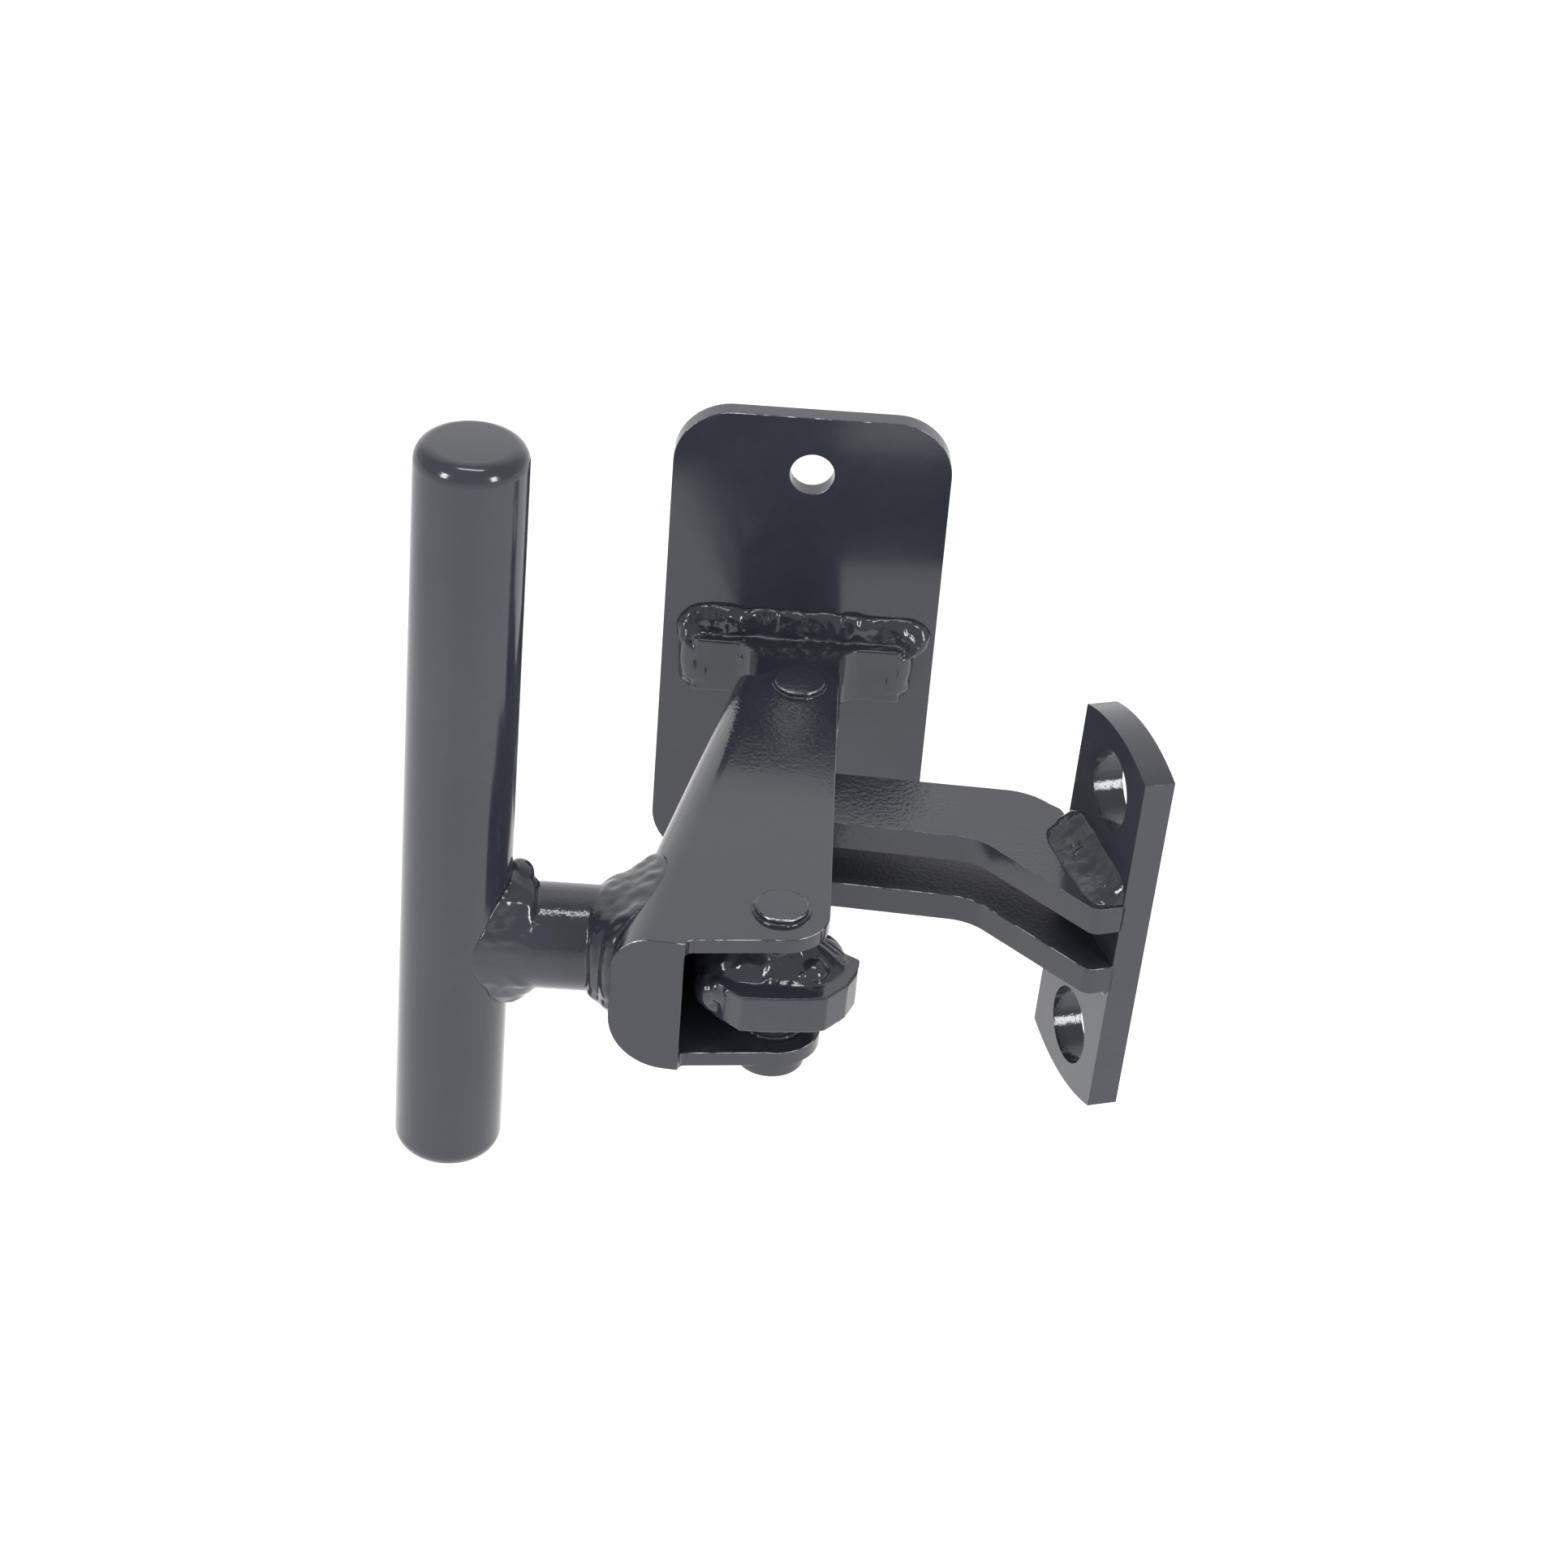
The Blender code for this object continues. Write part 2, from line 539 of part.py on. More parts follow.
def make_shank_welds():
    """Fillets where the bars' front edges cross the eye's shank, upper and lower."""
    for label, sign in (("upper", 1), ("lower", -1)):
        face = EYE_Z + sign * (EYE_T / 2 + GAP)
        sections = []
        for i in range(11):
            t = i / 10
            x = PIN_X + (SHANK_HALF - 0.9) * (2 * t - 1)
            y = BAR_FRONT_Y - 2 * GAP
            size = 4.2 + 0.3 * bead(1.3, t)
            quarter = [(x, y - size * u, face + sign * size * v) for u, v in arc(0, 0, 1.0, 0, 90, 4)]
            sections.append(quarter + [(x, y, face)])
        finish("shank_weld_" + label, sweep(sections), WELD_PAINT, WELD_ROUGH, WELD_SHARP)


def make_strike_welds():
    """Heavy fillets between bars and strike plate, above and below."""
    for label, sign, leg, reach in (("upper", 1, 8.6, 6.6), ("lower", -1, 5.0, 5.0)):
        base = EYE_Z - MID_Z + sign * (EYE_T / 2 + GAP + BAR_T + GAP)
        sections = []
        for i in range(19):
            t = i / 18
            bow = math.sin(math.pi * t)
            out = leg * (0.82 + 0.18 * bow) + 0.4 * bead(0.9, t * 1.5)
            high = reach * (0.9 + 0.1 * bow) + 0.4 * bead(2.7, t * 1.5)
            profile = [(0.0, 0.0), (1.0, 0.0), (0.93, 0.34), (0.62, 0.72), (0.3, 0.95), (0.0, 1.0)]
            loop = []
            for n, b in profile:
                height = base + sign * high * b
                out_here = -GAP - out * n + math.tan(tilt) * height
                loop.append(tuple(corner + across * (0.4 + (STRIKE_W - 2.2) * t) + flat_out * out_here
                                  + Vector((0, 0, height))))
            sections.append(loop)
        finish("strike_weld_" + label, sweep(sections), WELD_PAINT, WELD_ROUGH, WELD_SHARP)


make_eye()
make_strike_plate()
make_bars()
make_eye_weld()
make_shank_welds()
make_strike_welds()
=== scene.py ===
import json
import math
import random

import bmesh
import bpy
import numpy as np
from mathutils import Matrix, Vector, noise


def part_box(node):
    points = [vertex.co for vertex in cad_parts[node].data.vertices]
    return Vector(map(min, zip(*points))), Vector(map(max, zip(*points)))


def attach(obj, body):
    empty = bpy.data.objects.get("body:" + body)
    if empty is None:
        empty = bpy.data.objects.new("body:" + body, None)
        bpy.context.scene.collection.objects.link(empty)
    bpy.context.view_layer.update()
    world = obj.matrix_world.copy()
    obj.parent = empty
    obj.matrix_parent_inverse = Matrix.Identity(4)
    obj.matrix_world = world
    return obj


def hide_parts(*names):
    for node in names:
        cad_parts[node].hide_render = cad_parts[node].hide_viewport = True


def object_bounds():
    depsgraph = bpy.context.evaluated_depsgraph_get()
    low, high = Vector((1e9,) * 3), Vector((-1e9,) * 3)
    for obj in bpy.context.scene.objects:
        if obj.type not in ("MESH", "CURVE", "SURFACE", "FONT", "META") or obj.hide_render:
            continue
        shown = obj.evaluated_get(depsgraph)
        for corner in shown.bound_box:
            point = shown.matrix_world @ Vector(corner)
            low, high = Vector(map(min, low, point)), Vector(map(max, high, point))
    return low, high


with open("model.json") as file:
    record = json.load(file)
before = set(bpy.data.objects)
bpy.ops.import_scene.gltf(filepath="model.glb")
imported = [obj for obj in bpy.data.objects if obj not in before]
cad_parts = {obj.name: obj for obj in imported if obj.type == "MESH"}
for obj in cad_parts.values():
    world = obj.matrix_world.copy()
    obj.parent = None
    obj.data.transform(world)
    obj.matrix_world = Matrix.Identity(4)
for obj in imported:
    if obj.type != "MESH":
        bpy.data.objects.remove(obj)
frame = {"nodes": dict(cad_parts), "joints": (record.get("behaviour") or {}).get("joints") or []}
cad_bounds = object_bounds()

# Stair gate latch in gloss anthracite paint. Lengths are in metres, or in millimetres where it says so.
MM = 0.001
EDGE = 0.5 * MM            # radius that the paint gives a sawn or sheared edge
PIN_EDGE, LEVER_EDGE, LUG_EDGE = 0.2 * MM, 0.35 * MM, 0.9 * MM
EDGE_SEGMENTS = 3
FLAT = math.radians(0.5)   # faces closer than this are one face
CORNER = math.radians(30)  # edges sharper than this get rounded
HIGHLIGHT_UP, HIGHLIGHT_AHEAD = 0.45, 0.35   # how far up and toward the camera an edge facet must face to get the painted highlight
FACET = math.radians(16)   # edges sharper than this show as edges
VOXEL = 0.32 * MM          # grid that melts beads into what they join
EYE_VOXEL, FILLET_VOXEL = 0.3 * MM, 0.28 * MM
BEAD_STEPS = 14            # points across a bead
RING_STEPS = 96            # sections round a ring-shaped bead
FILLET_STEPS = 40          # sections along a fillet of the strike
GRIP_SIDES = 160
INSIDE = 0.1 * MM          # keeps the turned grip within the CAD's box
BURY = 1.0 * MM            # how far a bead's underside runs into its neighbours
CAD_GAP = 0.3 * MM         # what the CAD leaves between pieces that are welded
RIPPLE, RIPPLE_PITCH, RIPPLE_BOW = 0.11 * MM, 2.6, 2.2   # height in metres, then millimetres along the run

# Shapes that the CAD has too, in millimetres
WEB_LINE = ((-13.3, -25.0), (-35.3, -125.0), (-42.0, -166.0))   # x and y along the lever's slanting side
BEND_TOP = 9.0             # radius of the bend between the lever's side and top
SLEEVE_R = 6.7             # the eye's sleeve
HEAD_R = 6.1               # the pins' heads
GRIP_LEAN = 0.0087         # how far the grip leans sideways for each unit of height

joints = {joint["name"]: Vector(joint["pos_m"]) for joint in frame["joints"]}
REAR_PIN, FRONT_PIN = joints["lever_pivot"], joints["link_pivot"]


def box(node):
    """Lowest corner, highest corner and centre of a CAD node."""
    low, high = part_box(node)
    return low, high, (low + high) / 2


# ---------------------------------------------------------------- paint

# Where the orange peel is coarse, as centre and radius
STRIKE = box("strike_plate")[2]
HOLE_RISE = Vector((0, 0, 34))
PEEL_SPOTS = (
    (Vector((-27, -9, 8)) * MM, 9 * MM),        # left ear of the lug
    (Vector((28, -8, 8)) * MM, 9 * MM),         # right ear of the lug
    (Vector((-61, -136, -4)) * MM, 9 * MM),     # front of the stub
    (Vector((-50, -136, 6)) * MM, 12 * MM),     # bead between stub and lever
    (Vector((-4, -62, 14)) * MM, 24 * MM),      # lever's top by the rear pin
    (Vector((22, -84, 9)) * MM, 20 * MM),       # upper bar beside the lever
    (Vector((60, -100, 8)) * MM, 12 * MM),      # upper bar by the strike plate
    (STRIKE + HOLE_RISE * MM, 13 * MM),         # the strike plate's holes
    (STRIKE - HOLE_RISE * MM, 13 * MM),
)

# Noise scales, per metre
CLOUD_SCALE, MOTTLE_SCALE = 38.0, 420.0
PEEL_SCALE, GRAIN_SCALE = 330.0, 900.0
# the last scale sets how finely the painted highlight on edges is broken up
HIGHLIGHT_BREAK_SCALE = 260.0
DRY_ROUGH = 0.3            # what is added to the roughness where the spray dried before it landed
DRY_NEAR, DRY_FAR = 0.02 * MM, 0.06 * MM   # how far from dry_at the paint is fully dry, and no longer dry


def add(tree, kind, links=(), **values):
    """A shader node with its inputs and properties set, and (output, input) pairs linked."""
    made = tree.nodes.new(kind)
    for key, value in values.items():
        if key in made.inputs:
            made.inputs[key].default_value = value
        else:
            setattr(made, key, value)
    for output, key in links:
        tree.links.new(output, made.inputs[key])
    return made


def noise_at(tree, place, scale, detail=2.0, roughness=0.5):
    """Noise between 0 and 1 at a place."""
    made = add(tree, "ShaderNodeTexNoise", [(place, "Vector")],
               Scale=scale, Detail=detail, Roughness=roughness)
    return made.outputs["Fac"]


def mapped(tree, value, low, high, to_low, to_high):
    """A value brought from one range to another, and held inside it."""
    made = add(tree, "ShaderNodeMapRange", [(value, "Value")], clamp=True)
    for key, number in (("From Min", low), ("From Max", high), ("To Min", to_low), ("To Max", to_high)):
        made.inputs[key].default_value = number
    return made.outputs["Result"]


def combined(tree, operation, a, b):
    """Two values put together by an operation of the Math node."""
    return add(tree, "ShaderNodeMath", [(a, 0), (b, 1)], operation=operation).outputs["Value"]


def bump(tree, height, distance, below=None):
    """Normal of a relief, over the relief below it."""
    made = add(tree, "ShaderNodeBump", [(height, "Height")], Strength=1.0, Distance=distance)
    if below is not None:
        tree.links.new(below, made.inputs["Normal"])
    return made.outputs["Normal"]


def paint(name, dark, light, rough, peel, grain, dry_at=None):
    """Gloss paint on steel: mottled colour, uneven gloss, orange peel everywhere and coarse peel in spots.

    peel and grain are the heights of the fine and of the coarse orange peel. At the height dry_at the paint
    is rough, because the spray hardly reached there."""
    mat = bpy.data.materials.new(name)
    mat.use_nodes = True
    tree = mat.node_tree
    shader = tree.nodes["Principled BSDF"]
    place = add(tree, "ShaderNodeTexCoord").outputs["Object"]
    cloud = noise_at(tree, place, CLOUD_SCALE, 3.0, 0.6)
    mottle = noise_at(tree, place, MOTTLE_SCALE)
    tint = add(tree, "ShaderNodeMix", data_type="RGBA")
    tint.inputs["A"].default_value = (*dark, 1.0)
    tint.inputs["B"].default_value = (*light, 1.0)
    blotch = combined(tree, "MULTIPLY", mapped(tree, cloud, 0.3, 0.7, 0.2, 1.0),
                      mapped(tree, mottle, 0.25, 0.75, 0.6, 1.0))
    tree.links.new(blotch, tint.inputs["Factor"])
    tree.links.new(tint.outputs["Result"], shader.inputs["Base Color"])
    gloss = mapped(tree, cloud, 0.3, 0.7, rough * 0.8, rough * 1.3)
    dry = None
    if dry_at is not None:
        height = add(tree, "ShaderNodeSeparateXYZ", [(place, "Vector")]).outputs["Z"]
        off = add(tree, "ShaderNodeMath", [(height, 0)], operation="SUBTRACT")
        off.inputs[1].default_value = dry_at
        gap = add(tree, "ShaderNodeMath", [(off.outputs["Value"], 0)], operation="ABSOLUTE")
        dry = mapped(tree, gap.outputs["Value"], DRY_NEAR, DRY_FAR, 1.0, 0.0)
        gloss = combined(tree, "ADD", gloss, mapped(tree, dry, 0.0, 1.0, 0.0, DRY_ROUGH))
    tree.links.new(gloss, shader.inputs["Roughness"])
    shader.inputs["IOR"].default_value = 1.5

    spots = None
    for centre, radius in PEEL_SPOTS:
        away = add(tree, "ShaderNodeVectorMath", [(place, 0)], operation="DISTANCE")
        away.inputs[1].default_value = centre
        near = mapped(tree, away.outputs["Value"], radius * 0.5, radius * 1.1, 1.0, 0.0)
        spots = near if spots is None else combined(tree, "MAXIMUM", spots, near)
    if dry:
        spots = combined(tree, "MAXIMUM", spots, dry)
    coarse = combined(tree, "MULTIPLY", noise_at(tree, place, GRAIN_SCALE, 2.0, 0.55), spots)
    skin = bump(tree, noise_at(tree, place, PEEL_SCALE, 1.0, 0.4), peel)
    tree.links.new(bump(tree, coarse, grain, skin), shader.inputs["Normal"])
    return mat


# Colours that the paint is mottled with, and those of an edge that faces up and toward the camera: its
# paint, and the pale painted highlight along it
DEEP_GREY, DARK_GREY = (0.018, 0.020, 0.028), (0.020, 0.0225, 0.0315)
BAR_GREY, LIGHT_GREY, PALE_GREY = (0.026, 0.029, 0.040), (0.028, 0.031, 0.042), (0.030, 0.033, 0.045)
EDGE_GREY, PAINTED_HIGHLIGHT_GREY = (0.03, 0.033, 0.044), (0.62, 0.63, 0.66)

PLATE_PAINT = paint("plate_paint", DARK_GREY, LIGHT_GREY, rough=0.13, peel=0.008 * MM, grain=0.09 * MM)
WELD_PAINT = paint("weld_paint", DEEP_GREY, LIGHT_GREY, rough=0.12, peel=0.014 * MM, grain=0.08 * MM)
BAR_PAINT = paint("bar_paint", DEEP_GREY, BAR_GREY, rough=0.13, peel=0.008 * MM, grain=0.09 * MM,
                  dry_at=box("link_bar_lower")[1].z)
PIN_PAINT = paint("pin_paint", DARK_GREY, PALE_GREY, rough=0.13, peel=0.008 * MM, grain=0.05 * MM)


def painted_edge_highlight():
    """Painted highlight for edge facets that face up and toward the camera: a broken pale line, partly bare
    metal, that stands for the overhead lamp's glint.
    """
    mat = bpy.data.materials.new("painted_edge_highlight")
    mat.use_nodes = True
    tree = mat.node_tree
    shader = tree.nodes["Principled BSDF"]
    place = add(tree, "ShaderNodeTexCoord").outputs["Object"]
    # where along the edge the pale painted highlight shows, and where it breaks
    highlight = mapped(tree, noise_at(tree, place, HIGHLIGHT_BREAK_SCALE, 3.0, 0.6), 0.44, 0.58, 0.0, 1.0)
    tint = add(tree, "ShaderNodeMix", data_type="RGBA")
    tint.inputs["A"].default_value = (*EDGE_GREY, 1.0)
    tint.inputs["B"].default_value = (*PAINTED_HIGHLIGHT_GREY, 1.0)
    tree.links.new(highlight, tint.inputs["Factor"])
    tree.links.new(tint.outputs["Result"], shader.inputs["Base Color"])
    tree.links.new(mapped(tree, highlight, 0.0, 1.0, 0.12, 0.3), shader.inputs["Roughness"])
    tree.links.new(mapped(tree, highlight, 0.0, 1.0, 0.0, 0.8), shader.inputs["Metallic"])
    tree.links.new(bump(tree, noise_at(tree, place, GRAIN_SCALE), 0.02 * MM), shader.inputs["Normal"])
    return mat


# material of the painted highlight on edges that face up and toward the camera
HIGHLIGHT_EDGE_PAINT = painted_edge_highlight()

# ---------------------------------------------------------------- meshes

WAVE_SEED, WAVE_HEIGHT = 3.7, 1.6
LUMP, PUCKER = 3.2 * MM, 1.0 * MM          # size of the lumps and of the ripples that unevenness is made of
SEED_SHIFT = (7.31, 3.17, 5.79)
FADE_START, FADE_LENGTH = 1.4, 0.7         # where unevenness is gone, and over what length, in reaches
DROPLET = (0.45, 0.9)                      # radius in millimetres
DROPLET_RISE, DROPLET_FLANK = 0.55, 0.7    # height in radii, and how round its side is


def cad_copy(*names):
    """The CAD nodes' own surfaces as one bmesh, with their flat faces whole again."""
    bm = bmesh.new()
    for name in names:
        bm.from_mesh(frame["nodes"][name].data)
    bmesh.ops.remove_doubles(bm, verts=bm.verts, dist=0.001 * MM)
    bmesh.ops.dissolve_limit(bm, angle_limit=FLAT, verts=bm.verts, edges=bm.edges)
    for face in bm.faces:
        face.material_index = 0
    return bm


def joined(*parts):
    """Several bmeshes as one; the parts are used up."""
    whole = bmesh.new()
    for part in parts:
        mesh = bpy.data.meshes.new("part")
        part.to_mesh(mesh)
        part.free()
        whole.from_mesh(mesh)
        bpy.data.meshes.remove(mesh)
    return whole


def ring(loops):
    """Closed skin through closed loops that themselves go round in a ring."""
    bm = bmesh.new()
    rows = [[bm.verts.new(point) for point in loop] for loop in loops]
    for i, row in enumerate(rows):
        before = rows[i - 1]
        for j in range(len(row)):
            bm.faces.new((before[j - 1], before[j], row[j], row[j - 1]))
    bmesh.ops.recalc_face_normals(bm, faces=bm.faces)
    return bm


def bead_section(root, toe_a, toe_b, out, crown, power, passes=1, along=0.0, ripple=1.0):
    """Section of a bead: over its crown from one toe to the other, and back beneath the surface.

    power 1 is a quarter round, 2 is flat and more is hollow. passes is how many runs lie side by side.
    along is how far round the run this section is, for the bowed ripples of the cooling metal, and ripple
    is how strong they are."""
    loop = [toe_a - out * BURY]
    for k in range(BEAD_STEPS + 1):
        u = k / BEAD_STEPS
        t = u * math.pi / 2
        bow = math.sin(u * math.pi)
        scale = RIPPLE * ripple * bow * math.sin((along - RIPPLE_BOW * bow) * 2 * math.pi / RIPPLE_PITCH)
        rise = crown * abs(math.sin(passes * u * math.pi)) + scale
        loop.append(root + (toe_a - root) * math.cos(t) ** power + (toe_b - root) * math.sin(t) ** power
                    + out * rise)
    return loop + [toe_b - out * BURY, root - out * 2 * BURY]


def wave(at, seed):
    """Smooth unevenness between -1 and 1 along a bead."""
    return noise.noise(Vector((at, seed * WAVE_SEED, 0.5))) * WAVE_HEIGHT


def mixed(shares, *amounts):
    """The first share, plus each further share times its amount."""
    total = shares[0]
    for share, amount in zip(shares[1:], amounts):
        total += share * amount
    return total


def gauge(shares, *amounts):
    """A mixed measure in metres, from shares in millimetres."""
    return mixed(shares, *amounts) * MM


def round_and_round(count=RING_STEPS):
    """Steps once round a circle: number and angle."""
    return ((i, 2 * math.pi * i / count) for i in range(count))


def blob(centre, axes):
    """An ellipsoid of weld metal from its centre and three half-axes, in millimetres."""
    place = Matrix.Translation(Vector(centre) * MM) @ Matrix.Diagonal((*(Vector(axes) * MM), 1.0))
    bm = bmesh.new()
    bmesh.ops.create_icosphere(bm, subdivisions=3, radius=1.0, matrix=place)
    return bm


def show(name, bm, mat, body, stands_for):
    """Make a bmesh a named piece that rides on a body and stands for CAD nodes."""
    mesh = bpy.data.meshes.new(name)
    bm.to_mesh(mesh)
    bm.free()
    obj = bpy.data.objects.new(name, mesh)
    bpy.context.scene.collection.objects.link(obj)
    mesh.materials.append(mat)
    # second slot: the painted highlight that edged() puts on edges facing up and toward the camera
    mesh.materials.append(HIGHLIGHT_EDGE_PAINT)
    mesh.polygons.foreach_set("use_smooth", [True] * len(mesh.polygons))
    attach(obj, body)
    if stands_for:
        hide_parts(*stands_for)
    return obj


def edged(bm, width, keep=None, clamp=True):
    """Round the edges with narrow flat facets, which catch the light as fine lines, and give the facets
    that face up and toward the camera a painted highlight.

    keep(edge) leaves an edge sharp; clamp narrows every facet to what the shortest edge has room for."""
    edges = [edge for edge in bm.edges if edge.calc_face_angle(0.0) > CORNER and not (keep and keep(edge))]
    made = bmesh.ops.bevel(bm, geom=edges, offset=width, segments=EDGE_SEGMENTS, profile=0.5,
                           affect="EDGES", miter_outer="ARC", clamp_overlap=clamp)
    for face in made["faces"]:
        face.normal_update()
        # facets that face up and toward the camera get the painted highlight material
        face.material_index = int(face.normal.z > HIGHLIGHT_UP and face.normal.y < -HIGHLIGHT_AHEAD)
    for edge in bm.edges:
        edge.smooth = edge.calc_face_angle(0.0) < FACET
    return bm


def weigh_normals(obj):
    obj.modifiers.new("normals", "WEIGHTED_NORMAL").keep_sharp = True


def fine_cad(node, body, mat=PLATE_PAINT, width=EDGE, clamp=True):
    """A CAD node whose shape is right, with its edges rounded by the paint."""
    weigh_normals(show(node + "_fine", edged(cad_copy(node), width, clamp=clamp), mat, body, [node]))


def melted(bm, passes, voxel=VOXEL):
    """Overlapping closed shells made one skin on a fine grid, then smoothed a number of times."""
    mesh = bpy.data.meshes.new("melt")
    bm.to_mesh(mesh)
    bm.free()
    obj = bpy.data.objects.new("melt", mesh)
    bpy.context.scene.collection.objects.link(obj)
    remesh = obj.modifiers.new("melt", "REMESH")
    remesh.mode = "VOXEL"
    remesh.voxel_size = voxel
    smooth = obj.modifiers.new("smooth", "SMOOTH")
    smooth.iterations = passes
    graph = bpy.context.evaluated_depsgraph_get()
    done = bpy.data.meshes.new_from_object(obj.evaluated_get(graph))
    bpy.data.objects.remove(obj)
    out = bmesh.new()
    out.from_mesh(done)
    for face in out.faces:
        face.material_index = 0
    bpy.data.meshes.remove(done)
    bpy.data.meshes.remove(mesh)
    return out


def distance_to(bm, centres):
    """How far each vertex is from the nearest of the centres."""
    points = np.array([vert.co for vert in bm.verts])
    nearest = np.full(len(points), 1.0)
    for centre in centres:
        np.minimum(nearest, np.linalg.norm(points - np.array(centre), axis=1), out=nearest)
    return nearest


def weathered(bm, centres, reach, coarse, fine, seed):
    """Make the skin near the centres uneven: coarse and fine are the heights of its lumps and ripples."""
    bm.normal_update()
    shift = Vector([seed * amount for amount in SEED_SHIFT])
    weight = np.clip((FADE_START * reach - distance_to(bm, centres)) / (FADE_LENGTH * reach), 0.0, 1.0)
    for vert, w in zip(bm.verts, weight):
        if w > 0.0:
            lump = noise.noise(vert.co / LUMP + shift)
            ripple = noise.noise(vert.co / PUCKER + shift)
            vert.co += vert.normal * w * (coarse * lump + fine * ripple)
    return bm


def spattered(bm, centres, spread, count, seed):
    """Droplets of weld spatter under the paint, scattered near the weld centres."""
    dice = random.Random(seed)
    bm.normal_update()
    points = np.array([vert.co for vert in bm.verts])
    bm.verts.ensure_lookup_table()
    near = np.flatnonzero(distance_to(bm, centres) < spread)
    for _ in range(count):
        hub = bm.verts[int(near[dice.randrange(len(near))])]
        radius = dice.uniform(*DROPLET) * MM
        away = np.linalg.norm(points - np.array(hub.co), axis=1)
        lift = hub.normal.copy() * radius * DROPLET_RISE
        for i in np.flatnonzero(away < radius):
            bm.verts[int(i)].co += lift * (1.0 - (away[i] / radius) ** 2) ** DROPLET_FLANK
    return bm


# ---------------------------------------------------------------- base
fine_cad("base_plate", "base")
fine_cad("lug_sleeve", "base", PIN_PAINT, PIN_EDGE)


EAR_WRAP = 3.4 * MM        # how far the bead wraps onto the front of the ears
LUG_CORNER, LUG_PITCH = 3.0 * MM, 1.0 * MM   # rounding of the bead's path, and length of its steps
CORNER_STEP = 15           # degrees
LOBE_LENGTH, LOBE_START = 17.0, 40.0         # the passes over the top, along x in millimetres

# Shares of the lug's bead, for gauge
LUG_LEG = (3.3, -0.5, 4.0, -0.5, 1.0, 0.45)  # plain, right, over, under, hump, unevenness
LUG_DEPTH = (5.85, -3.25, -2.6, 1.2, 0.3)    # plain, over, under, top left, unevenness
LUG_CROWN = (0.25, 0.7, 0.35)                # plain, lobes, unevenness
LUG_HOLLOW = (1.25, -0.42)                   # plain, sides
LUG_RIPPLE = (1.0, -0.8)                     # plain, sides
LEAST_LUG_CROWN = 0.1 * MM
HUMP = (0.6, 3.0)                            # how the leg swells at the upper corners: plain, right
LUG_WAVE_PITCH = 0.11
CORE = 0.4                                   # how far a weld's core lies from its root, in legs


def lug_outline(low, high):
    """The bead's path round the lug's end, as points and outward directions in x and z."""
    half = (high.x - low.x) / 2
    outline = []
    for cx, cz, start in ((half, high.z, 0), (-half, high.z, 90), (-half, low.z, 180), (half, low.z, 270)):
        for k in range(90 // CORNER_STEP + 1):
            a = math.radians(start + CORNER_STEP * k)
            inward = LUG_CORNER if start < 180 else -LUG_CORNER
            outline.append((Vector((cx - math.copysign(LUG_CORNER, cx) + LUG_CORNER * math.cos(a),
                                    cz - inward + LUG_CORNER * math.sin(a))),
                            Vector((math.cos(a), math.sin(a)))))
    return outline


def make_lug():
    """The T-shaped lug with its fillet: tall and shallow over the top, heavy round the ears' ends."""
    low, high = box("base_lug")[:2]
    wall = high.y + CAD_GAP
    half = (high.x - low.x) / 2
    loops, centres = [], []
    outline = lug_outline(low, high)
    for i, (point, out) in enumerate(outline):
        before, out_before = outline[i - 1]
        steps = max(1, int((point - before).length / LUG_PITCH))
        for k in range(steps):
            spot = before.lerp(point, (k + 1) / steps)
            way = out_before.lerp(out, (k + 1) / steps).normalized()
            over, under = max(0.0, way.y), max(0.0, -way.y)
            side = max(0.0, 1.0 - over - under)
            right = 1.0 if spot.x > 0 else 0.0
            t = len(loops) * LUG_WAVE_PITCH
            lobe = 1.0 - ((spot.x / MM + LOBE_START) / LOBE_LENGTH) % 1.0
            hump = over * (1 - over) * 4 * mixed(HUMP, right)
            leg = gauge(LUG_LEG, right, over, under, hump, wave(t * 2, 1))
            top_left = over * max(0.0, -spot.x / half - 0.5)
            depth = gauge(LUG_DEPTH, over, under, top_left, wave(t * 2, 2))
            n = Vector((way.x, 0, way.y))
            root = Vector((spot.x, wall, spot.y)) - n * side * EAR_WRAP
            toe_plate, toe_lug = root + n * (leg + side * EAR_WRAP), root - Vector((0, depth, 0))
            crown = gauge(LUG_CROWN, over * lobe, wave(t * 1.3, 3))
            loops.append(bead_section(root, toe_plate, toe_lug, (n - Vector((0, 1, 0))).normalized(),
                                      max(LEAST_LUG_CROWN, crown), mixed(LUG_HOLLOW, side),
                                      along=len(loops) * LUG_PITCH / MM, ripple=mixed(LUG_RIPPLE, side)))
            if side < 0.5:
                centres.append(root + n * leg * CORE - Vector((0, depth * CORE, 0)))
    bm = melted(joined(edged(cad_copy("base_lug"), LUG_EDGE), ring(loops)), 8)
    bm = weathered(bm, centres, reach=4.2 * MM, coarse=0.6 * MM, fine=0.08 * MM, seed=1)
    bm = spattered(bm, centres, spread=9 * MM, count=12, seed=3)
    show("lug_and_weld", bm, WELD_PAINT, "base", ["base_lug", "lug_weld"])


make_lug()

# ---------------------------------------------------------------- lever
fine_cad("lever_clevis", "lever", width=LEVER_EDGE, clamp=False)
for label in ("rear", "front"):
    fine_cad(label + "_pin", "lever", PIN_PAINT, PIN_EDGE)
    fine_cad(label + "_washer", "lever", PIN_PAINT, PIN_EDGE)


def make_paint_ring(name, centre, radius, thickness, body, seed):
    """The lumpy ring that paint and weld leave where a round piece meets a face."""
    loops = []
    for i, a in round_and_round():
        out = Vector((math.cos(a), math.sin(a), 0))
        size = thickness * (1.0 + 0.25 * wave(i * 0.35, seed))
        middle = centre + out * (radius + 0.1 * MM)
        loops.append([middle + out * size * math.cos(b) + Vector((0, 0, size * math.sin(b)))
                      for _, b in round_and_round(12)])
    show(name, ring(loops), WELD_PAINT, body, ())


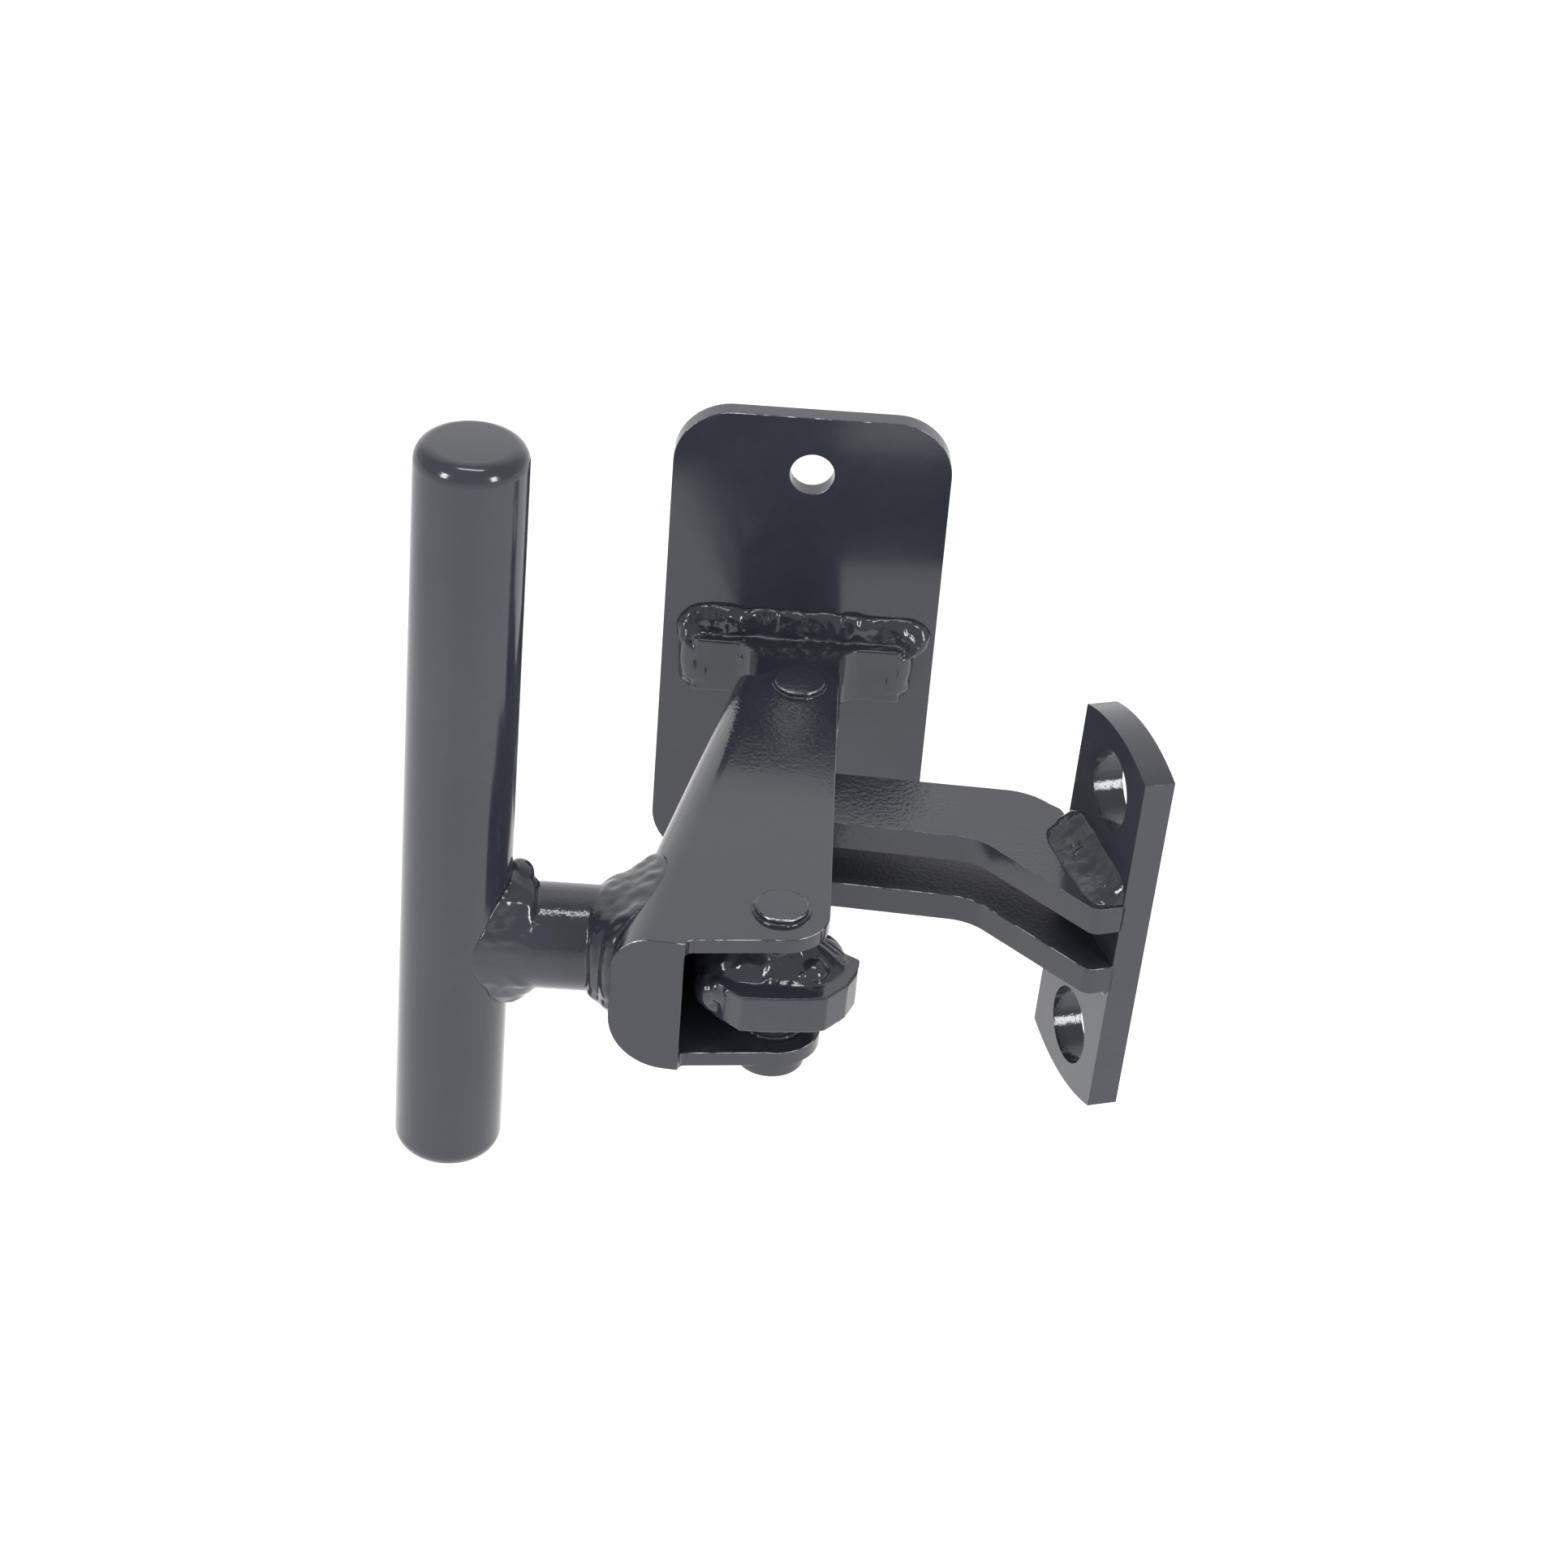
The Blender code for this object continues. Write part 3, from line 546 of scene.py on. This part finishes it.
LEVER_TOP = box("lever_clevis")[1].z
SLEEVE_LOW = box("eye_sleeve")[0].z
for label, centre in (("rear", REAR_PIN), ("front", FRONT_PIN)):
    on_top = Vector((centre.x, centre.y, LEVER_TOP + 0.05 * MM))
    make_paint_ring(label + "_pin_ring", on_top, HEAD_R * MM, 0.5 * MM, "lever", 11 + len(label))
make_paint_ring("eye_sleeve_ring", Vector((FRONT_PIN.x, FRONT_PIN.y, SLEEVE_LOW + 0.35 * MM)),
                SLEEVE_R * MM, 0.6 * MM, "link", 17)


GRIP_ROUND, GRIP_ROUND_HIGH = 3.8 * MM, 4.4 * MM   # how far in and along the grip's ends are rounded


def rounded_end(radius, level, way):
    """Profile points (radius, height) from the side of the grip round onto its end."""
    return [(radius - GRIP_ROUND + GRIP_ROUND * math.cos(a), level + way * GRIP_ROUND_HIGH * math.sin(a))
            for a in (math.pi / 2 * k / 12 for k in range(13))]


def make_grip():
    """The grip: a round bar with rounded ends, turned finely about the CAD bar's own axis."""
    points = [vert.co.copy() for vert in frame["nodes"]["handle_bar"].data.vertices]
    low, high = box("handle_bar")[:2]
    ends = []
    for level in (low.z + INSIDE, high.z - INSIDE):
        near = [point for point in points if abs(point.z - level) < 6 * MM]
        centre_x = (min(point.x for point in near) + max(point.x for point in near)) / 2
        ends.append(Vector((centre_x, (low.y + high.y) / 2, level)))
    axis = ends[1] - ends[0]
    radius = (high.y - low.y) / 2 - INSIDE
    length = axis.length
    profile = [(0.0, 0.0)] + rounded_end(radius, GRIP_ROUND_HIGH, -1)[::-1]
    profile += rounded_end(radius, length - GRIP_ROUND_HIGH, 1) + [(0.0, length)]
    turn = axis.to_track_quat("Z", "Y").to_matrix().to_4x4()
    bm = bmesh.new()
    rows = []
    for r, z in profile:
        if r == 0.0:
            rows.append([bm.verts.new((0, 0, z))])
            continue
        rows.append([bm.verts.new((r * math.cos(a), r * math.sin(a), z))
                     for _, a in round_and_round(GRIP_SIDES)])
    for lower, upper in zip(rows, rows[1:]):
        for k in range(GRIP_SIDES):
            quad = [lower[k % len(lower)], lower[(k + 1) % len(lower)],
                    upper[(k + 1) % len(upper)], upper[k % len(upper)]]
            bm.faces.new(list(dict.fromkeys(quad)))
    bmesh.ops.recalc_face_normals(bm, faces=bm.faces)
    bm.transform(Matrix.Translation(ends[0]) @ turn)
    show("grip", bm, PLATE_PAINT, "lever", ["handle_bar"])


def web_x(y):
    """Where the lever's slanting side stands at y, in millimetres."""
    for (x0, y0), (x1, y1) in zip(WEB_LINE, WEB_LINE[1:]):
        if y >= y1 or (x1, y1) == WEB_LINE[-1]:
            return x0 + (x1 - x0) * (y - y0) / (y1 - y0)


def on_lever(y, climb):
    """Point on the lever's side, climb millimetres up from where its bend begins, and on round the bend."""
    start = LEVER_TOP / MM - BEND_TOP
    if climb <= 0:
        return Vector((web_x(y), y, start + climb)) * MM
    a = min(climb / BEND_TOP, math.pi / 2)
    beyond = max(0.0, climb - BEND_TOP * math.pi / 2)
    x = web_x(y) + BEND_TOP * (1 - math.cos(a)) + beyond
    return Vector((x, y, start + BEND_TOP * math.sin(a))) * MM


STUB_FLAT = 0.95           # the stub is dressed a little flat in front, where it meets the grip
STUB_LUMP = ((-61.6, -127.5, 11.4), (3.4, 4.4, 3.6))   # lump up behind the saddle: centre and half-axes
SADDLE_TOE = -57.3         # x in millimetres that the saddle reaches along the stub

# Shares of the two beads on the stub, for gauge; the run is the one on the lever
SADDLE_LEG = (0.7, 4.5, 0.4)           # plain, above and below the stub, unevenness
SADDLE_CROWN = (0.3, 0.3)              # plain, unevenness
SADDLE_HOLLOW = 1.45
RUN_REACH = (4.6, 3.2, 2.0, 0.5)       # out over the lever: plain, up, up and back, unevenness
RUN_TOE = (6.9, 1.3, 0.6)              # out along the stub: plain, up, unevenness
RUN_CROWN = (0.55, -0.2, 0.3)          # plain, up, unevenness
RUN_HOLLOW = (1.5, 0.5)                # plain, up
SADDLE_PACE, RUN_PACE = 0.8, 1.1       # millimetres of bead for each section, for the ripples
RUN_RIPPLE = 0.08


def saddle_section(i, a, middle, on_stub, turn):
    """Section of the bead between stub and grip, and its weld centres: none in front, where it is flush."""
    grip_low, grip_high, grip = box("handle_bar")
    grip_r = (grip_high.y - grip_low.y) / 2
    ahead = on_stub.y - grip.y
    swing = math.asin(max(-1.0, min(1.0, -ahead / grip_r)))
    grip_x = grip.x + (middle.z - grip.z) * GRIP_LEAN
    root = Vector((grip_x + grip_r * math.cos(swing), on_stub.y, on_stub.z))
    leg = gauge(SADDLE_LEG, abs(math.sin(a)) ** 2.5, wave(i * 0.12, 4))
    flat = Vector((grip_r * swing, on_stub.z - middle.z)).normalized()
    swing_b = swing + leg * flat.x / grip_r
    toe_b = Vector((grip_x + grip_r * math.cos(swing_b), grip.y - grip_r * math.sin(swing_b),
                    on_stub.z + leg * flat.y))
    toe_a = Vector((SADDLE_TOE * MM + 0.5 * MM * wave(i * 0.15, 5), on_stub.y, on_stub.z))
    out = (turn + Vector((math.cos(swing), -math.sin(swing), 0))).normalized()
    flush = max(0.0, math.cos(a)) ** 3
    crown = gauge(SADDLE_CROWN, wave(i * 0.2, 6)) * (1.0 - flush)
    section = bead_section(root, toe_a, toe_b, out, crown, SADDLE_HOLLOW,
                           along=i * SADDLE_PACE, ripple=1.0 - flush)
    return section, [root.lerp(toe_b, 0.5), root.lerp(toe_a, 0.5)] if flush < 0.5 else []


def run_section(i, a, middle, on_stub, turn, radius):
    """Section of the double bead between stub and lever, which climbs the lever's bend, and its centres."""
    y, z = on_stub.y / MM, on_stub.z / MM
    bend_start = LEVER_TOP / MM - BEND_TOP
    over = max(0.0, z - bend_start)
    side = web_x(y) + BEND_TOP - math.sqrt(BEND_TOP ** 2 - min(over, BEND_TOP) ** 2)
    root = Vector((side, y, z)) * MM
    up, back = max(0.0, math.sin(a)), max(0.0, -math.cos(a))
    reach = radius / MM + gauge(RUN_REACH, up, up * back, wave(i * 0.17, 7)) / MM
    toe_b = on_lever(middle.y / MM - reach * math.cos(a), middle.z / MM - bend_start + reach * math.sin(a))
    toe_a = root - Vector((gauge(RUN_TOE, up, wave(i * 0.13, 8)), 0, 0))
    out = (turn - Vector((1, 0, 0))).normalized()
    crown = gauge(RUN_CROWN, up, wave(i * 0.21, 9))
    section = bead_section(root, toe_a, toe_b, out, crown, mixed(RUN_HOLLOW, up),
                           passes=2, along=i * RUN_PACE, ripple=RUN_RIPPLE)
    return section, [root.lerp(toe_b, 0.5), root.lerp(toe_a, 0.5)]


def make_stub():
    """The stub with its beads melted on: a saddle on the grip, and a double run on the lever's side."""
    low, high, middle = box("handle_stub")
    radius = (high.z - low.z) / 2
    saddle, run, centres = [], [], []
    for i, a in round_and_round():
        turn = Vector((0, -math.cos(a), math.sin(a)))
        on_stub = middle + turn * radius
        on_stub.y = middle.y + (on_stub.y - middle.y) * STUB_FLAT
        section, weld = saddle_section(i, a, middle, on_stub, turn)
        saddle.append(section)
        centres += weld
        section, weld = run_section(i, a, middle, on_stub, turn, radius)
        run.append(section)
        centres += weld
    stub = cad_copy("handle_stub")
    for vert in stub.verts:
        vert.co.y = middle.y + (vert.co.y - middle.y) * STUB_FLAT
    bm = melted(joined(stub, ring(saddle), ring(run), blob(*STUB_LUMP)), 10)
    bm = weathered(bm, centres, reach=3.2 * MM, coarse=0.5 * MM, fine=0.025 * MM, seed=2)
    bm = spattered(bm, [middle], spread=18 * MM, count=9, seed=5)
    show("stub_and_welds", bm, WELD_PAINT, "lever", ["handle_stub", "handle_weld", "stub_weld"])


make_grip()
make_stub()

# ---------------------------------------------------------------- link


INTO_STRIKE = 0.83 * MM    # closes the gap to the strike plate and runs past its rounded edge
BAR_END = 0.6 * MM         # points of a bar this near to the strike plate are its end
CUT_END = 0.3 * MM         # and edges this near stay sharp once the end is in the plate
FILLETS = (("upper", 1, 8.4, 6.6), ("lower", -1, 4.6, 4.6))   # way in z, legs on bar and plate in mm
OVERRUN = 1.3 * MM         # how far the fillets run on past the bars' right edge
FILLET_CROWN = (0.0, 0.7, 0.3)         # plain, to the right, unevenness
FILLET_HOLLOW = (2.9, -1.0)            # plain, to the right
FILLET_RIPPLE = 0.3
UNEVEN_LEG = 0.5           # millimetres


def tube(loops):
    """Closed skin through closed loops in a row, with flat ends."""
    bm = bmesh.new()
    rows = [[bm.verts.new(point) for point in loop] for loop in loops]
    for before, row in zip(rows, rows[1:]):
        for j in range(len(row)):
            bm.faces.new((before[j - 1], before[j], row[j], row[j - 1]))
    bm.faces.new(rows[0])
    bm.faces.new(rows[-1])
    bmesh.ops.recalc_face_normals(bm, faces=bm.faces)
    return bm


def make_strike_fillets(face, near):
    """The fillets between bars and strike plate, with those between bars and shank.

    face is the plate's outward normal, and near is where its inner face lies along that."""
    width_way = Vector((-face.y, face.x, 0)).normalized()
    for part, way, leg, reach in FILLETS:
        weld = frame["nodes"]["strike_weld_" + part].data.vertices
        start = min(vert.co.dot(width_way) for vert in weld)
        stop = max(vert.co.dot(width_way) for vert in weld) + OVERRUN
        bar_low, bar_high = box("link_bar_" + part)[:2]
        z = bar_high.z if way > 0 else bar_low.z
        up = Vector((0, 0, way))
        flat = Vector((face.x, face.y, 0)).normalized()
        loops, centres = [], []
        for i in range(FILLET_STEPS + 1):
            t = i / FILLET_STEPS
            full = (1.0 - abs(2 * t - 1) ** 7) ** 0.5 * 0.85 + 0.15
            at = width_way * (start + (stop - start) * t)
            root = at + flat * ((near - face.z * z) / face.dot(flat) + CAD_GAP) + Vector((0, 0, z))
            toe_bar = root - flat * (leg + UNEVEN_LEG * wave(t * 4, 21)) * MM * full
            toe_plate = root + up * (reach + UNEVEN_LEG * wave(t * 5, 22)) * MM * full
            crown = gauge(FILLET_CROWN, t ** 2, wave(t * 4, 23))
            loops.append(bead_section(root, toe_bar, toe_plate, (up - flat).normalized(), crown,
                                      mixed(FILLET_HOLLOW, t), along=t * (stop - start) / MM,
                                      ripple=FILLET_RIPPLE))
            centres.append(root.lerp(toe_bar, CORE) + up * 1.5 * MM)
        shank = cad_copy("shank_weld_" + part)
        bmesh.ops.subdivide_edges(shank, edges=shank.edges, cuts=2, use_grid_fill=True)
        bm = melted(joined(tube(loops), shank), 6, FILLET_VOXEL)
        bm = weathered(bm, centres, reach=5.0 * MM, coarse=0.4 * MM, fine=0.07 * MM, seed=4)
        bm = spattered(bm, centres, spread=3.5 * MM, count=7, seed=8)
        show("weld_" + part, bm, WELD_PAINT, "link", ["strike_weld_" + part, "shank_weld_" + part])


def make_link():
    """The two flat bars, run into the strike plate, with the fillets that hold them to it."""
    strike = frame["nodes"]["strike_plate"].data
    face = max(strike.polygons, key=lambda polygon: polygon.area).normal.copy()
    if face.x < 0:
        face.negate()
    near = min(vert.co.dot(face) for vert in strike.vertices)

    def at_strike(edge):
        return all(vert.co.dot(face) > near - CUT_END for vert in edge.verts)

    names = ["link_bar_upper", "link_bar_lower"]
    bars = []
    for name in names:
        bar = cad_copy(name)
        for vert in bar.verts:
            if vert.co.dot(face) > near - BAR_END:
                vert.co += face * INTO_STRIKE
        bars.append(edged(bar, EDGE, at_strike))
    make_strike_fillets(face, near)
    weigh_normals(show("bars", joined(*bars), BAR_PAINT, "link", names))


# Shares of the bead round the eye's sleeve, for gauge
EYE_CLIMB = (4.6, 2.5, -4.2, 0.3)            # up the sleeve: plain, sides, back, unevenness
EYE_SPREAD = (4.4, 4.4, 2.6, 0.2, 0.5)       # over the eye: plain, sides, left, back, unevenness
EYE_CROWN = (0.05, 0.7, 0.25)                # plain, left, unevenness
EYE_HOLLOW = (2.4, -0.9, -0.4)               # plain, left, right
LEAST_EYE_CROWN = 0.02 * MM
EYE_PACE = 0.7                               # millimetres of bead for each section

# Lumps of weld where the shank and the sleeve meet the eye's top and left side: centre and half-axes
EYE_LUMPS = (
    ((-15.5, -144.0, 0.4), (4.8, 4.6, 2.8)), ((-17.4, -146.2, -2.4), (3.6, 4.6, 4.6)),
    ((-15.2, -148.4, -1.2), (3.2, 3.0, 3.4)), ((-16.0, -147.6, -4.8), (3.0, 3.0, 2.8)),
    ((-10.0, -144.6, 2.4), (3.6, 3.8, 3.8)), ((5.4, -144.8, 2.2), (3.6, 3.8, 3.6)),
)
EYE_LEFT = ((-16, -147, -5), (-16, -147, -2), (-16, -147, 1))   # where the left side is uneven too


def make_eye():
    """The eye plate, its sleeve and the weld between them: thin in front, heavy to left and right."""
    top = box("link_eye")[1].z
    loops, centres = [], []
    for i, a in round_and_round():
        way = Vector((math.cos(a), math.sin(a), 0))
        side = abs(math.cos(a)) ** 1.4
        left, right = max(0.0, -math.cos(a)), max(0.0, math.cos(a))
        back = max(0.0, math.sin(a))
        root = Vector((FRONT_PIN.x, FRONT_PIN.y, top)) + way * SLEEVE_R * MM
        climb = gauge(EYE_CLIMB, side, back, wave(i * 0.2, 10))
        spread = gauge(EYE_SPREAD, side, left * side, back, wave(i * 0.2, 11))
        crown = gauge(EYE_CROWN, side * left, wave(i * 0.3, 12))
        out = (way + Vector((0, 0, 1))).normalized()
        loops.append(bead_section(root, root + Vector((0, 0, climb)), root + way * spread, out,
                                  max(LEAST_EYE_CROWN, crown), mixed(EYE_HOLLOW, left * side, right * side),
                                  along=i * EYE_PACE))
        if right < 0.5:
            centres.append(root + out * 2.0 * MM * (0.6 + side))
    centres += [Vector(place) * MM for place in EYE_LEFT]
    eye = edged(cad_copy("link_eye"), EDGE)
    lumps = [blob(*lump) for lump in EYE_LUMPS]
    bm = melted(joined(eye, cad_copy("eye_sleeve"), ring(loops), *lumps), 5, EYE_VOXEL)
    bm = weathered(bm, centres, reach=3.6 * MM, coarse=0.45 * MM, fine=0.09 * MM, seed=3)
    bm = spattered(bm, centres, spread=7 * MM, count=12, seed=6)
    show("eye_and_weld", bm, WELD_PAINT, "link", ["link_eye", "eye_sleeve", "eye_weld"])


fine_cad("strike_plate", "link")
make_link()
make_eye()

# ---------------------------------------------------------------- studio
CAMERA = Vector((-0.023902, -0.827749, 0.510329))
YAW, PITCH, ROLL = 0.028234, -0.590585, 0.082365
LENS, SENSOR = 87.66, 36.0
FLOOR_HALF = 12.0
FLOOR_ROUGH = 0.8
GLOW = 0.42                # light that the floor itself gives, as a light table does
WHITE = 0.86               # how much light the floor gives back
BEHIND, AHEAD = 1.4, 0.62  # how bright the studio is behind and in front of the object
WALL_RISE = (0.15, 0.55)   # how far back one looks where the bright wall begins, and where it is full
WALL_EDGE = (0.45, 0.75)   # how far sideways one looks where the wall begins to fade, and has faded
WALL_REST = 0.2            # what is left of the wall beyond that
DROP = 0.28                # the floor is far enough below to hold no shadow in view
AIM = Vector((-0.02, -0.11, 0.0))
LAMPS = (                  # azimuth from straight in front towards +X, elevation, distance, size, radiance
    ("over", -8, 80, 1.2, (0.6, 0.14), 13.0),
    ("left", -50, 22, 1.2, (0.22, 0.42), 20.0),
    ("right", 46, 20, 1.2, (0.22, 0.42), 20.0),
)


def make_camera():
    """The camera, turned by yaw and pitch and then rolled about its own line of sight."""
    ahead = Vector((math.sin(YAW) * math.cos(PITCH), math.cos(YAW) * math.cos(PITCH), math.sin(PITCH)))
    level = Vector((math.cos(YAW), -math.sin(YAW), 0.0))
    above = level.cross(ahead)
    right = math.cos(ROLL) * level + math.sin(ROLL) * above
    up = math.cos(ROLL) * above - math.sin(ROLL) * level
    data = bpy.data.cameras.new("camera")
    data.lens = LENS
    data.sensor_width = SENSOR
    data.clip_start = 0.01
    camera = bpy.data.objects.new("camera", data)
    bpy.context.scene.collection.objects.link(camera)
    camera.matrix_world = Matrix.Translation(CAMERA) @ Matrix((right, up, -ahead)).transposed().to_4x4()
    bpy.context.scene.camera = camera


def make_floor():
    """A plain white floor that glows a little."""
    z = cad_bounds[0][2] - DROP
    mesh = bpy.data.meshes.new("floor")
    corners = ((-1, -1), (1, -1), (1, 1), (-1, 1))
    mesh.from_pydata([(x * FLOOR_HALF, y * FLOOR_HALF, z) for x, y in corners], [], [(0, 1, 2, 3)])
    mat = bpy.data.materials.new("floor")
    mat.use_nodes = True
    shader = mat.node_tree.nodes["Principled BSDF"]
    shader.inputs["Base Color"].default_value = (WHITE, WHITE, WHITE, 1.0)
    shader.inputs["Roughness"].default_value = FLOOR_ROUGH
    shader.inputs["Emission Color"].default_value = (1.0, 1.0, 1.0, 1.0)
    shader.inputs["Emission Strength"].default_value = GLOW
    mesh.materials.append(mat)
    floor = bpy.data.objects.new("floor", mesh)
    bpy.context.scene.collection.objects.link(floor)


def make_lamp(name, azimuth, elevation, away, size, radiance):
    """A softbox facing the latch."""
    a, e = math.radians(azimuth), math.radians(elevation)
    data = bpy.data.lights.new(name, "AREA")
    data.shape = "RECTANGLE"
    data.size, data.size_y = size
    data.energy = radiance * math.pi * size[0] * size[1]
    lamp = bpy.data.objects.new(name, data)
    bpy.context.scene.collection.objects.link(lamp)
    way = Vector((math.sin(a) * math.cos(e), -math.cos(a) * math.cos(e), math.sin(e)))
    lamp.location = AIM + way * away
    lamp.rotation_euler = (-way).to_track_quat("-Z", "Y").to_euler()


def make_studio():
    """White surroundings: a bright wall behind, dimmer in front and to the sides."""
    world = bpy.data.worlds.new("studio")
    world.use_nodes = True
    tree = world.node_tree
    sight = add(tree, "ShaderNodeTexCoord").outputs["Generated"]
    way = add(tree, "ShaderNodeSeparateXYZ", [(sight, "Vector")])
    aside = add(tree, "ShaderNodeMath", [(way.outputs["X"], 0)], operation="ABSOLUTE").outputs["Value"]
    wall = combined(tree, "MULTIPLY", mapped(tree, way.outputs["Y"], *WALL_RISE, 0.0, BEHIND - AHEAD),
                    mapped(tree, aside, *WALL_EDGE, 1.0, WALL_REST))
    total = add(tree, "ShaderNodeMath", [(wall, 0)], operation="ADD")
    total.inputs[1].default_value = AHEAD
    tree.links.new(total.outputs["Value"], tree.nodes["Background"].inputs["Strength"])
    tree.nodes["Background"].inputs["Color"].default_value = (1.0, 1.0, 1.0, 1.0)
    bpy.context.scene.world = world


make_camera()
make_floor()
for lamp_row in LAMPS:
    make_lamp(*lamp_row)
make_studio()
bpy.context.scene.view_settings.view_transform = "Standard"
